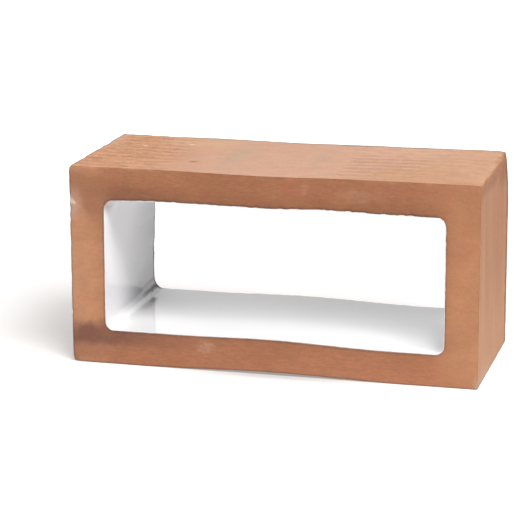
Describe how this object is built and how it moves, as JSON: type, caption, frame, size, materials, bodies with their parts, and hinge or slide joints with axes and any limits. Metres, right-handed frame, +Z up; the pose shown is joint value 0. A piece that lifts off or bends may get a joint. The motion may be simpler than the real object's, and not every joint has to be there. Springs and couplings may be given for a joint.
{
  "type": "hollow clay screen brick",
  "caption": "Rectangular terracotta brick with one large round-cornered hollow running right through it, glazed white inside.",
  "frame": {"origin": "on the ground under the middle of the brick, as it stands on one long wall", "axes": "+X along the brick's length, +Y through the hollow away from the face shown, +Z up"},
  "size_m": [0.29, 0.12, 0.142],
  "materials": {
    "fired_clay": "unglazed matt terracotta with drag marks and fire marks",
    "white_glaze": "glossy white glaze fired onto the walls of the hollow"
  },
  "bodies": {
    "root": {"hollow_brick": "fired_clay"}
  },
  "joints": []
}
